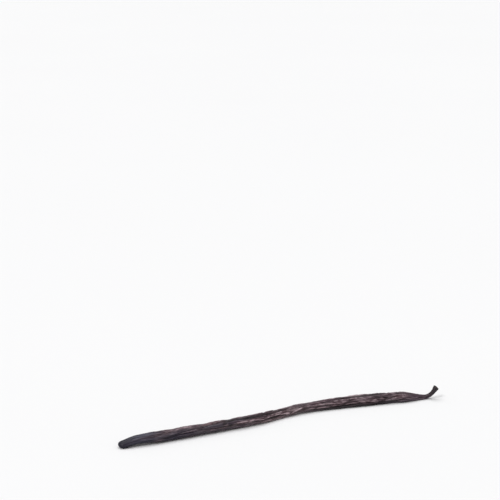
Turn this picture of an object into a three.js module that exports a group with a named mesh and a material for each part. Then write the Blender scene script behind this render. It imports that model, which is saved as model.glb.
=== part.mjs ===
// A cured vanilla pod: one long, flattened, wrinkled capsule with its curled stalk end.
//
// Millimetres, +Z up. The pod lies along X on the plane Z = 0, with its blossom end at -X and its
// stalk end at +X. The origin is on that plane, under the middle of the pod's bounding box.
//
// The pod starts as a straight, round blank, turned on its own long axis. Each vertex of the blank
// then goes where curing takes it: the section flattens, the skin shrinks into furrows and
// wrinkles, and the whole pod bends and sags onto the table.
import * as THREE from "three";

const { clamp, degToRad, lerp, smootherstep, smoothstep } = THREE.MathUtils;

// The whole pod.
const LENGTH = 178; // along its own line, nose to stalk scar
const BODY_WIDTH = 8.4;
const BODY_THICKNESS = 5.3;
const PRESS = 0.28; // how far the limp underside is pressed flat by the table

// The blossom end: a blunt nose that droops to the table behind a low arch.
const NOSE_LENGTH = 2.7;
const NOSE_SHARE = 0.66; // of the body's section, just behind the nose
const SHOULDER_LENGTH = 26; // from the nose to the full section

// Low arches, where the pod stands a little clear of the table: behind the nose and past the kink.
// A skew under 1 moves the top of an arch towards the nose.
const ARCHES = [
  { from: 2.4, length: 24, height: 1.1, skew: 0.62 },
  { from: 90, length: 24, height: 0.55, skew: 1 },
];

// The stalk end: the body tapers to a thin neck that curls up and flares into a knob.
const NECK_WIDTH = 2.8;
const NECK_THICKNESS = 2.4;
const NECK_LENGTH = 5.2;
const TAPER_LENGTH = 17.4;
const KNOB_WIDTH = 3.9;
const KNOB_THICKNESS = 3.3;
const KNOB_LENGTH = 2;
const HOOK_LENGTH = 10.5;
const HOOK_PITCH = degToRad(52);
const HOOK_YAW = degToRad(-17);

// The hollow scar in the knob's broken end: each ring's share of the radius and its depth.
const SCAR_PROFILE = [
  [1, 0.35],
  [0.84, 0],
  [0.5, 0.38],
  [0, 0.55],
];

// The plan: a slow bend from the nose to the stalk, with a slight sway and a kink.
const YAW_NOSE = degToRad(1.8);
const YAW_STALK = degToRad(-9.6);
const BEND_FROM = 0.43; // shares of the length
const BEND_TO = 0.91;
const KINK_AT = 85;
const KINK_LENGTH = 16.5;
const KINK_YAW = degToRad(14);
const SWAY_FROM = 8;
const SWAY_TO = 120;
const SWAY_YAW = degToRad(1.9);
const WALK_STEP = 0.25; // between the points that trace the pod's line

// The roll of the flat section about the pod's line.
const ROLL = degToRad(13);
const ROLL_TURNS = 1.15;
const ROLL_PHASE = 0.4;

// Where the section is smaller: where the pod is twisted past the kink, and before the taper.
const PINCHES = [
  { at: 100, length: 17, share: 0.17 },
  { at: 149, length: 9, share: 0.06 },
];

// How the pattern of the skin turns round the pod, in radians.
const TWIST = 0.7; // over the whole length
const SWIRL = 1.25; // and the extra turn round the kink
const SWIRL_FROM = 66;
const SWIRL_TO = 112;

// The skin. Folds run along the pod; the ridges between them stay rounded. The cells are those of
// the pattern: how many lie in one turn, and their length along the pod.
const FOLDS = [
  { depth: 0.64, sharpness: 1.9, cellsRound: 13, cellLength: 21, layer: 34 },
  { depth: 0.54, sharpness: 1.6, cellsRound: 17, cellLength: 16, layer: 2 },
];
const FOLD_WANDER = 0.35; // radians
const WANDER_CELLS_ROUND = 3;
const WANDER_CELL_LENGTH = 27;
const LUMP_SHARE = 0.05; // slow swelling of the section over the seeds inside
const LUMP_CELLS_ROUND = 2;
const LUMP_CELL_LENGTH = 13;
const NOSE_SMOOTH = 0.3; // of the relief that is left on the taut nose
const NOSE_SMOOTH_LENGTH = 26;
const UNDERSIDE_SMOOTH = 0.35; // of the relief that is left where the table presses
const UNDERSIDE_FROM = 0.45; // how far below the sides that starts, as a sine, and is complete
const UNDERSIDE_TO = 0.9;

// Long deep furrows: where the pod's sides have fallen in. Angles are from the +Y side over the
// top, at the nose; the twist carries them round from there.
const FURROWS = [
  { angle: degToRad(158), depth: 0.47, width: 0.17, from: 60, to: 104 },
  { angle: degToRad(128), depth: 0.42, width: 0.16, from: 44, to: 92 },
  { angle: degToRad(232), depth: 0.45, width: 0.16, from: 14, to: 86 },
  { angle: degToRad(278), depth: 0.5, width: 0.17, from: 96, to: 161 },
  { angle: degToRad(318), depth: 0.6, width: 0.18, from: 82, to: 124 },
  { angle: degToRad(174), depth: 0.42, width: 0.17, from: 100, to: 176 },
  { angle: degToRad(30), depth: 0.5, width: 0.18, from: 12, to: 110 },
  { angle: degToRad(325), depth: 0.42, width: 0.16, from: 18, to: 82 },
  { angle: degToRad(105), depth: 0.5, width: 0.17, from: 102, to: 168 },
  { angle: degToRad(62), depth: 0.45, width: 0.17, from: 114, to: 176 },
];
const FURROW_WANDER = 0.18; // radians
const FURROW_WAVE = 47;
const FURROW_SHIFT = 5; // sets the furrows' waves apart
const FURROW_FADE = 16; // length over which a furrow opens or closes

// The pattern's cells. Each layer of the pattern has its own cells, in rings that lean.
const LAYER_SPACING = 19.7;
const CELL_SKEW = 0.6;

// How finely the blank is cut.
const SEGMENTS_ROUND = 40;
const BODY_STEP = 2.1;
const END_STEP = 0.8;
const STEP_GROWTH = 34; // length over which the step grows from the ends to the body
const NOSE_RINGS = 5;

/** A repeatable number from 0 to 1 for a corner of the noise's grid. */
function cornerValue(i, j, k) {
  const wave = Math.sin(i * 127.1 + j * 311.7 + k * 74.7) * 43758.5453;
  return wave - Math.floor(wave);
}

/** Smooth noise from -1 to 1 at a point, blended between the corners of its grid cell. */
function noise(x, y, z) {
  const [i, j, k] = [Math.floor(x), Math.floor(y), Math.floor(z)];
  const [u, v, w] = [x - i, y - j, z - k].map((part) => smootherstep(part, 0, 1));
  const edge = (dj, dk) => lerp(cornerValue(i, j + dj, k + dk), cornerValue(i + 1, j + dj, k + dk), u);
  return 2 * lerp(lerp(edge(0, 0), edge(1, 0), v), lerp(edge(0, 1), edge(1, 1), v), w) - 1;
}

/** Noise on the pod's skin, with so many cells in one turn and cells of that length along it. */
function skinNoise(s, angle, cellsRound, cellLength, layer) {
  const radius = cellsRound / (2 * Math.PI);
  const offset = layer * LAYER_SPACING;
  const along = s / cellLength + CELL_SKEW * Math.sin(2 * angle + offset);
  return noise(radius * Math.cos(angle) + offset, radius * Math.sin(angle) + offset, along + offset);
}

/** A bell curve of height 1 round a middle. */
function bell(value, middle, width) {
  return Math.exp(-(((value - middle) / width) ** 2));
}

/** The half width or half thickness of the section at s, given its size in the body, neck and knob. */
function halfSize(s, body, neck, knob) {
  const left = LENGTH - s;
  const shoulder = lerp(NOSE_SHARE, 1, smoothstep(s, 0, SHOULDER_LENGTH));
  const pinched = PINCHES.reduce(
    (size, { at, length, share }) => size * (1 - share * bell(s, at, length)),
    1,
  );
  const bodyShare = smoothstep(left, NECK_LENGTH, NECK_LENGTH + TAPER_LENGTH);
  const flare = (knob - neck) * bell(left, 0, KNOB_LENGTH);
  return (lerp(neck, body * shoulder * pinched, bodyShare) + flare) / 2;
}

/** How far the arches lift the pod at s. */
function liftAt(s) {
  return ARCHES.reduce((lift, { from, length, height, skew }) => {
    const share = clamp((s - from) / length, 0, 1) ** skew;
    return lift + height * Math.sin(Math.PI * share) ** 2;
  }, 0);
}

/** The section at s: half width a, half thickness b, roll, and the height of its middle. */
function sectionAt(s) {
  const a = halfSize(s, BODY_WIDTH, NECK_WIDTH, KNOB_WIDTH);
  const b = halfSize(s, BODY_THICKNESS, NECK_THICKNESS, KNOB_THICKNESS);
  const roll = ROLL * Math.sin(2 * Math.PI * ((ROLL_TURNS * s) / LENGTH + ROLL_PHASE));
  const reach = Math.hypot(a * Math.sin(roll), b * Math.cos(roll));
  return { a, b, roll, height: reach + liftAt(s) - PRESS };
}

/** Which way the pod's line runs at s: yaw in plan and pitch above the table. */
function headingAt(s) {
  const bend = lerp(YAW_NOSE, YAW_STALK, smoothstep(s / LENGTH, BEND_FROM, BEND_TO));
  const kink = KINK_YAW * bell(s, KINK_AT, KINK_LENGTH);
  const sway = SWAY_YAW * Math.sin(2 * Math.PI * clamp((s - SWAY_FROM) / (SWAY_TO - SWAY_FROM), 0, 1));
  const curl = smoothstep(s, LENGTH - HOOK_LENGTH, LENGTH - KNOB_LENGTH);
  return { yaw: bend + kink + sway + HOOK_YAW * curl, pitch: HOOK_PITCH * curl };
}

/** The direction the pod's line runs at s. */
function directionAt(s) {
  const { yaw, pitch } = headingAt(s);
  return new THREE.Vector3(Math.cos(yaw) * Math.cos(pitch), Math.sin(yaw) * Math.cos(pitch), Math.sin(pitch));
}

/** The pod's line, walked from the nose: a point and the directions across and up at s. */
function makeLine() {
  const points = [new THREE.Vector3()];
  for (let s = 0; s < LENGTH + WALK_STEP; s += WALK_STEP) {
    points.push(points.at(-1).clone().addScaledVector(directionAt(s + WALK_STEP / 2), WALK_STEP));
  }
  return (s) => {
    const i = Math.floor(s / WALK_STEP);
    const centre = points[i].clone().lerp(points[i + 1], s / WALK_STEP - i);
    const { yaw } = headingAt(s);
    const across = new THREE.Vector3(-Math.sin(yaw), Math.cos(yaw), 0);
    return { centre, across, up: directionAt(s).cross(across) };
  };
}

/** How deep the long furrows are at s and an angle of the untwisted pattern. */
function furrowDepth(s, angle) {
  let depth = 0;
  for (const furrow of FURROWS) {
    const wave = Math.sin((2 * Math.PI * s) / FURROW_WAVE + FURROW_SHIFT * furrow.angle);
    const middle = furrow.angle + FURROW_WANDER * wave;
    const away = Math.atan2(Math.sin(angle - middle), Math.cos(angle - middle));
    const opening = smoothstep(s, furrow.from, furrow.from + FURROW_FADE);
    const closing = 1 - smoothstep(s, furrow.to - FURROW_FADE, furrow.to);
    depth += furrow.depth * opening * closing * bell(away, 0, furrow.width);
  }
  return depth;
}

/** How deep the folds are at s and an angle of the untwisted pattern. */
function foldDepth(s, angle) {
  const wander = FOLD_WANDER * skinNoise(s, angle, WANDER_CELLS_ROUND, WANDER_CELL_LENGTH, 1);
  let deepest = 0;
  for (const { depth, sharpness, cellsRound, cellLength, layer } of FOLDS) {
    const ridge = sharpness * Math.abs(skinNoise(s, angle + wander, cellsRound, cellLength, layer));
    deepest = Math.max(deepest, depth * (1 - Math.min(1, ridge)) ** 2);
  }
  return deepest;
}

/** How far the shrunken skin lies below the smooth section at s and an angle. */
function reliefDepth(s, angle) {
  const untwisted = angle + (TWIST * s) / LENGTH + SWIRL * smoothstep(s, SWIRL_FROM, SWIRL_TO);
  const taut = lerp(NOSE_SMOOTH, 1, smoothstep(s, 0, NOSE_SMOOTH_LENGTH));
  const pressed = lerp(1, UNDERSIDE_SMOOTH, smoothstep(-Math.sin(angle), UNDERSIDE_FROM, UNDERSIDE_TO));
  return (foldDepth(s, untwisted) + furrowDepth(s, untwisted)) * taut * pressed;
}

/** Where the blank's point at s, at a share of its radius and an angle, lies on the cured pod. */
function curedPoint(lineAt, s, share, angle) {
  const { a, b, roll, height } = sectionAt(s);
  const { centre, across, up } = lineAt(s);
  const lump = 1 + LUMP_SHARE * skinNoise(s, angle, LUMP_CELLS_ROUND, LUMP_CELL_LENGTH, 3);
  const inward = new THREE.Vector2(-b * Math.cos(angle), -a * Math.sin(angle)).normalize();
  const depth = reliefDepth(s, angle) * Math.min(1, (2 * b) / BODY_THICKNESS);
  const flat = new THREE.Vector2(a * Math.cos(angle), b * Math.sin(angle))
    .multiplyScalar(lump)
    .addScaledVector(inward, depth)
    .multiplyScalar(share)
    .rotateAround(new THREE.Vector2(), roll);
  const point = centre.clone().addScaledVector(across, flat.x).addScaledVector(up, flat.y);
  point.z = Math.max(0, point.z + height);
  return point;
}

/** The blank's half outline, from the tip of the nose to the middle of the stalk scar. */
function blankOutline() {
  const outline = [];
  for (let i = 0; i < NOSE_RINGS; i++) {
    const turn = (i / NOSE_RINGS) * (Math.PI / 2);
    outline.push(new THREE.Vector2(Math.sin(turn), NOSE_LENGTH * (1 - Math.cos(turn))));
  }
  const rim = LENGTH - SCAR_PROFILE[0][1];
  for (let s = NOSE_LENGTH; s < rim - END_STEP / 2; ) {
    outline.push(new THREE.Vector2(1, s));
    s += lerp(END_STEP, BODY_STEP, smoothstep(Math.min(s, LENGTH - s), 0, STEP_GROWTH));
  }
  for (const [share, depth] of SCAR_PROFILE) {
    outline.push(new THREE.Vector2(share, LENGTH - depth));
  }
  return outline;
}

/** The pod's closed skin: the turned blank, with every vertex moved to its cured place. */
function makePodGeometry() {
  const geometry = new THREE.LatheGeometry(blankOutline(), SEGMENTS_ROUND);
  const lineAt = makeLine();
  const position = geometry.getAttribute("position");
  for (let i = 0; i < position.count; i++) {
    const [x, s, z] = [position.getX(i), position.getY(i), position.getZ(i)];
    const point = curedPoint(lineAt, s, Math.hypot(x, z), Math.atan2(x, z));
    position.setXYZ(i, point.x, point.y, point.z);
  }
  geometry.computeBoundingBox();
  const middle = geometry.boundingBox.getCenter(new THREE.Vector3());
  geometry.translate(-middle.x, -middle.y, 0);
  geometry.computeVertexNormals();
  return geometry;
}

const skin = new THREE.MeshStandardMaterial({ color: 0x43353a, roughness: 0.42, metalness: 0 });

const pod = new THREE.Mesh(makePodGeometry(), skin);
pod.name = "pod";

const vanillaPod = new THREE.Group();
vanillaPod.add(pod);

export default vanillaPod;
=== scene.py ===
"""A cured vanilla pod, dressed for a studio picture.

The pod is one limp, flattened capsule, 178 mm along its own line, that lies on a pale table. Its
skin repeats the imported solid's form and adds the finer wrinkles, the torn fibres of the stalk scar
and the small pit at the blossom end. Sizes of the pod are in millimetres and angles in radians;
the meshes are made in metres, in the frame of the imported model.
"""

import logging
import math
from dataclasses import dataclass, field
from enum import Enum
from math import radians

import bpy
import numpy as np
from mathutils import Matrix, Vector


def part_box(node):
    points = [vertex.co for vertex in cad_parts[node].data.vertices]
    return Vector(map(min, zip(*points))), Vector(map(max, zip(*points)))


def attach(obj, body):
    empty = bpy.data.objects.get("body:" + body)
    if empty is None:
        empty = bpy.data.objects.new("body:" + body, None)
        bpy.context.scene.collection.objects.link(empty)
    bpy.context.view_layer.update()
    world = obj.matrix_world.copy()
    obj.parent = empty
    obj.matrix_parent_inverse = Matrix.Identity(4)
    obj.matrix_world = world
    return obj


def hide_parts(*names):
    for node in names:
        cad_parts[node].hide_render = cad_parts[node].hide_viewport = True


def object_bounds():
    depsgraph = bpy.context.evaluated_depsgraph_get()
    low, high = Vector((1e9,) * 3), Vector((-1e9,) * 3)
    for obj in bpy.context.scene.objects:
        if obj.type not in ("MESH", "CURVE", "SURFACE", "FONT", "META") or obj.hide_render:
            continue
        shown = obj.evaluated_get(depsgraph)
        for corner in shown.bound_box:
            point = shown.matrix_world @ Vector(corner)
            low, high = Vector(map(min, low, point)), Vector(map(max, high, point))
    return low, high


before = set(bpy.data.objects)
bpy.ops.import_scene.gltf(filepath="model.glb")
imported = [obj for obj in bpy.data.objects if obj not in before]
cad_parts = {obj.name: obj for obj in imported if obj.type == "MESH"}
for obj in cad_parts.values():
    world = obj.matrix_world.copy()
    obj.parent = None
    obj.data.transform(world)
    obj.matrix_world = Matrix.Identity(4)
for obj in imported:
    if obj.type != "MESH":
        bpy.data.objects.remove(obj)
CAD_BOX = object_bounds()

Array = np.ndarray
Colour = tuple[float, float, float]
Span = tuple[float, float]

MILLIMETRE = 0.001
POD_LENGTH = 178.0
NODE = "pod"
BODY = "root"

# These scramble the corners of the noise's grid in the same way on each run.
GRID_STEPS = (127.1, 311.7, 74.7)
GRID_SCRAMBLE = 43758.5453

log = logging.getLogger("vanilla_pod")


# --------------------------------------------------------------------------- small mathematics


def smooth(value: Array | float, low: float, high: float) -> Array:
    """Rise smoothly from 0 to 1 as a value goes from low to high.

    Args:
        value: The value or values.
        low: Where the rise starts.
        high: Where the rise ends.

    Returns:
        The share risen, between 0 and 1.
    """
    part = np.clip((np.asarray(value, float) - low) / (high - low), 0.0, 1.0)
    return part * part * (3.0 - 2.0 * part)


def mix(low: Array | float, high: Array | float, share: Array | float) -> Array:
    """Go from low to high by a share.

    Args:
        low: The value at share 0.
        high: The value at share 1.
        share: How far to go.

    Returns:
        The value in between.
    """
    return low + (high - low) * share


def bell(value: Array, middle: float, width: float) -> Array:
    """Give a bell curve of height 1 round a middle.

    Args:
        value: The values to look up.
        middle: Where the curve is highest.
        width: How far from the middle it has fallen to 1 / e.

    Returns:
        The height of the curve at each value.
    """
    return np.exp(-(((value - middle) / width) ** 2))


def corner_value(i: Array, j: Array, k: Array) -> Array:
    """Give a repeatable number from 0 to 1 for a corner of the noise's grid.

    Args:
        i: Whole numbers along the grid's first axis.
        j: Whole numbers along its second axis.
        k: Whole numbers along its third axis.

    Returns:
        One number for each corner.
    """
    step_i, step_j, step_k = GRID_STEPS
    wave = np.sin(i * step_i + j * step_j + k * step_k) * GRID_SCRAMBLE
    return wave - np.floor(wave)


def grid_noise(x: Array, y: Array, z: Array) -> Array:
    """Blend the corner values of each point's grid cell into smooth noise.

    Args:
        x: Places along the grid's first axis.
        y: Places along its second axis.
        z: Places along its third axis.

    Returns:
        Noise from -1 to 1.
    """
    i, j, k = np.floor(x), np.floor(y), np.floor(z)
    u, v, w = (part**3 * (part * (6.0 * part - 15.0) + 10.0) for part in (x - i, y - j, z - k))

    def edge(dj: int, dk: int) -> Array:
        """Blend the two corners of one edge of the cell."""
        return mix(corner_value(i, j + dj, k + dk), corner_value(i + 1, j + dj, k + dk), u)

    near = mix(edge(0, 0), edge(1, 0), v)
    far = mix(edge(0, 1), edge(1, 1), v)
    return 2.0 * mix(near, far, w) - 1.0


@dataclass(frozen=True)
class SkinNoise:
    """Smooth noise wrapped round the pod's skin.

    Attributes:
        cells_round: Cells of the pattern in one turn round the pod.
        cell_length: Length of a cell along the pod, in millimetres.
        layer: Which part of the endless pattern is used.
        layer_spacing: Cells between the parts.
        skew: How far the rings of cells lean along the pod, in cells.
    """

    cells_round: float
    cell_length: float
    layer: int
    layer_spacing: float = 19.7
    skew: float = 0.6

    def at(self, s: Array, angle: Array) -> Array:
        """Look the noise up on the skin.

        Args:
            s: Places along the pod.
            angle: Angles round it.

        Returns:
            Noise from -1 to 1.
        """
        radius = self.cells_round / (2.0 * math.pi)
        offset = self.layer * self.layer_spacing
        along = s / self.cell_length + self.skew * np.sin(2.0 * angle + offset)
        return grid_noise(radius * np.cos(angle) + offset, radius * np.sin(angle) + offset, along + offset)


# ------------------------------------------------------------------------------ the pod's form


@dataclass(frozen=True)
class PodLine:
    """The curved line down the middle of the pod, from its blossom end to its stalk end.

    Attributes:
        yaw_nose: Heading in plan at the blossom end.
        yaw_stalk: Heading in plan where the stalk end starts to curl.
        bend_from: Where the slow bend starts, as a share of the length.
        bend_to: Where it ends.
        kink_at: Middle of the kink.
        kink_length: Half length of the kink.
        kink_yaw: How far the kink turns the heading.
        sway_from: Where the line starts to sway to the side.
        sway_to: Where it is back.
        sway_yaw: How far the sway turns the heading.
        hook_length: Length of the curl at the stalk end.
        hook_end: Length at the very end that is straight again.
        hook_pitch: How steeply the curl ends.
        hook_yaw: How far the curl turns in plan.
        step: Distance between the points that trace the line.
    """

    yaw_nose: float = radians(1.8)
    yaw_stalk: float = radians(-9.6)
    bend_from: float = 0.43
    bend_to: float = 0.91
    kink_at: float = 85.0
    kink_length: float = 16.5
    kink_yaw: float = radians(14.0)
    sway_from: float = 8.0
    sway_to: float = 120.0
    sway_yaw: float = radians(1.9)
    hook_length: float = 10.5
    hook_end: float = 2.0
    hook_pitch: float = radians(52.0)
    hook_yaw: float = radians(-17.0)
    step: float = 0.25

    def heading(self, s: Array) -> tuple[Array, Array]:
        """Say which way the line runs.

        Args:
            s: Places along the line.

        Returns:
            The yaw in plan and the pitch above the table.
        """
        bend = mix(self.yaw_nose, self.yaw_stalk, smooth(s / POD_LENGTH, self.bend_from, self.bend_to))
        kink = self.kink_yaw * bell(s, self.kink_at, self.kink_length)
        swayed = np.clip((s - self.sway_from) / (self.sway_to - self.sway_from), 0.0, 1.0)
        sway = self.sway_yaw * np.sin(2.0 * math.pi * swayed)
        curl = smooth(s, POD_LENGTH - self.hook_length, POD_LENGTH - self.hook_end)
        return bend + kink + sway + self.hook_yaw * curl, self.hook_pitch * curl

    def direction(self, s: Array) -> Array:
        """Give the line's direction.

        Args:
            s: Places along the line.

        Returns:
            A unit vector at each place.
        """
        yaw, pitch = self.heading(s)
        flat = np.cos(pitch)
        return np.stack([np.cos(yaw) * flat, np.sin(yaw) * flat, np.sin(pitch)], axis=-1)

    def centre(self, s: Array) -> Array:
        """Walk the line from the nose.

        Args:
            s: Places along the line.

        Returns:
            Points on the line, with the nose at the zero point.
        """
        marks = np.arange(0.0, POD_LENGTH + 2.0 * self.step, self.step)
        strides = self.direction(marks[:-1] + self.step / 2.0) * self.step
        points = np.vstack([np.zeros(3), np.cumsum(strides, axis=0)])
        return np.stack([np.interp(s, marks, points[:, axis]) for axis in range(3)], axis=-1)

    def across(self, s: Array) -> Array:
        """Give the level direction across the line, as unit vectors."""
        yaw, _ = self.heading(s)
        return np.stack([-np.sin(yaw), np.cos(yaw), np.zeros_like(yaw)], axis=-1)


@dataclass(frozen=True)
class Measure:
    """One measure across the pod in its three parts.

    Attributes:
        body: In the full body.
        neck: In the thin neck.
        knob: At the flared end.
    """

    body: float
    neck: float
    knob: float


@dataclass(frozen=True)
class Arch:
    """A stretch where the pod stands a little clear of the table.

    Attributes:
        start: Where along the pod it starts.
        length: Its length.
        height: Its height.
        skew: Below 1, it moves the top of the arch towards the nose.
    """

    start: float
    length: float
    height: float
    skew: float = 1.0

    def lift(self, s: Array) -> Array:
        """Give the arch's height at places along the pod."""
        share = np.clip((s - self.start) / self.length, 0.0, 1.0) ** self.skew
        return self.height * np.sin(math.pi * share) ** 2


@dataclass(frozen=True)
class Pinch:
    """A stretch where the section is smaller.

    Attributes:
        middle: Where along the pod it is narrowest.
        length: Half its length.
        share: How much of the section it takes.
    """

    middle: float
    length: float
    share: float

    def left(self, s: Array) -> Array:
        """Give the share of the section that the pinch leaves."""
        return 1.0 - self.share * bell(s, self.middle, self.length)


@dataclass(frozen=True)
class PodSection:
    """The oval section of the pod: how wide and thick it is, how it rolls and how high it lies.

    Attributes:
        width: Widths of the body, neck and knob.
        thickness: Thicknesses of the body, neck and knob.
        press: How far the limp underside is pressed flat by the table.
        nose_share: Share of the section that is left just behind the nose.
        shoulder_length: Length over which the section fills out behind the nose.
        arches: The low arches behind the nose and under the kink.
        neck_length: Length of the neck and knob.
        taper_length: Length over which the body narrows to the neck.
        knob_length: Length over which the neck flares.
        roll: Greatest roll of the flat section.
        roll_turns: Waves of the roll over the whole length.
        roll_phase: Where in its wave the roll starts.
        pinches: Where the section is smaller.
    """

    width: Measure = Measure(8.4, 2.8, 3.9)
    thickness: Measure = Measure(5.3, 2.4, 3.3)
    press: float = 0.28
    nose_share: float = 0.66
    shoulder_length: float = 26.0
    arches: tuple[Arch, ...] = (Arch(2.4, 24.0, 1.1, 0.62), Arch(90.0, 24.0, 0.55))
    neck_length: float = 5.2
    taper_length: float = 17.4
    knob_length: float = 2.0
    roll: float = radians(13.0)
    roll_turns: float = 1.15
    roll_phase: float = 0.4
    pinches: tuple[Pinch, ...] = (Pinch(100.0, 17.0, 0.17), Pinch(149.0, 9.0, 0.06))

    def half(self, s: Array, measure: Measure) -> Array:
        """Give half the width or half the thickness.

        Args:
            s: Places along the pod.
            measure: The measure to halve.

        Returns:
            Half of the measure at each place.
        """
        left = POD_LENGTH - s
        shoulder = mix(self.nose_share, 1.0, smooth(s, 0.0, self.shoulder_length))
        body = measure.body * shoulder * math.prod(pinch.left(s) for pinch in self.pinches)
        body_share = smooth(left, self.neck_length, self.neck_length + self.taper_length)
        flare = (measure.knob - measure.neck) * bell(left, 0.0, self.knob_length)
        return (mix(measure.neck, body, body_share) + flare) / 2.0

    def roll_at(self, s: Array) -> Array:
        """Give the roll of the section about the pod's line."""
        return self.roll * np.sin(2.0 * math.pi * (self.roll_turns * s / POD_LENGTH + self.roll_phase))

    def height(self, s: Array) -> Array:
        """Give the height of the section's middle above the pod's line.

        Args:
            s: Places along the pod.

        Returns:
            The heights.
        """
        a, b, roll = self.half(s, self.width), self.half(s, self.thickness), self.roll_at(s)
        lift = sum(arch.lift(s) for arch in self.arches)
        return np.hypot(a * np.sin(roll), b * np.cos(roll)) + lift - self.press


# ------------------------------------------------------------------------ the relief of the skin


@dataclass(frozen=True)
class Folds:
    """Creases that run along the pod, with rounded ridges between them.

    Attributes:
        pattern: The noise whose zero lines are the creases.
        depth: Depth of a crease.
        sharpness: The higher, the narrower the creases.
        wander: How far the creases wander round the pod.
        wander_pattern: The noise that makes them wander.
        power: The lower, the rounder the ridges.
    """

    pattern: SkinNoise
    depth: float
    sharpness: float
    wander: float
    wander_pattern: SkinNoise
    power: float = 2.0

    def depth_at(self, s: Array, angle: Array) -> Array:
        """Give the depth of the creases.

        Args:
            s: Places along the pod.
            angle: Angles of the untwisted pattern.

        Returns:
            The depth below the ridges.
        """
        drift = self.wander * self.wander_pattern.at(s, angle)
        ridge = np.minimum(1.0, self.sharpness * np.abs(self.pattern.at(s, angle + drift)))
        return self.depth * (1.0 - ridge) ** self.power


@dataclass(frozen=True)
class Furrow:
    """A long deep furrow where the pod's side has fallen in.

    Attributes:
        angle: Where it lies round the pod, in the untwisted pattern.
        depth: Its depth.
        width: Half its width, as an angle.
        start: Where along the pod it opens.
        end: Where it has closed.
        wander: How far it wanders round the pod.
        wave: Length of one wander.
        shift: Sets the furrows' waves apart.
        fade: Length over which it opens or closes.
    """

    angle: float
    depth: float
    width: float
    start: float
    end: float
    wander: float = 0.18
    wave: float = 47.0
    shift: float = 5.0
    fade: float = 16.0

    def depth_at(self, s: Array, angle: Array) -> Array:
        """Give the depth of the furrow.

        Args:
            s: Places along the pod.
            angle: Angles of the untwisted pattern.

        Returns:
            The depth below the skin beside it.
        """
        middle = self.angle + self.wander * np.sin(2.0 * math.pi * s / self.wave + self.shift * self.angle)
        away = np.arctan2(np.sin(angle - middle), np.cos(angle - middle))
        opening = smooth(s, self.start, self.start + self.fade)
        closing = 1.0 - smooth(s, self.end - self.fade, self.end)
        return self.depth * opening * closing * bell(away, 0.0, self.width)


def long_furrows() -> tuple[Furrow, ...]:
    """List the pod's long furrows."""
    return (
        Furrow(radians(158.0), depth=0.47, width=0.17, start=60.0, end=104.0),
        Furrow(radians(128.0), depth=0.42, width=0.16, start=44.0, end=92.0),
        Furrow(radians(232.0), depth=0.45, width=0.16, start=14.0, end=86.0),
        Furrow(radians(278.0), depth=0.5, width=0.17, start=96.0, end=161.0),
        Furrow(radians(318.0), depth=0.6, width=0.18, start=82.0, end=124.0),
        Furrow(radians(174.0), depth=0.42, width=0.17, start=100.0, end=176.0),
        Furrow(radians(30.0), depth=0.5, width=0.18, start=12.0, end=110.0),
        Furrow(radians(325.0), depth=0.42, width=0.16, start=18.0, end=82.0),
        Furrow(radians(105.0), depth=0.5, width=0.17, start=102.0, end=168.0),
        Furrow(radians(62.0), depth=0.45, width=0.17, start=114.0, end=176.0),
    )


def solid_folds() -> tuple[Folds, ...]:
    """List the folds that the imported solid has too."""
    wander = SkinNoise(3, 27.0, 1)
    return (
        Folds(SkinNoise(13, 21.0, 34), depth=0.64, sharpness=1.9, wander=0.35, wander_pattern=wander),
        Folds(SkinNoise(17, 16.0, 2), depth=0.54, sharpness=1.6, wander=0.35, wander_pattern=wander),
    )


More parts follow.
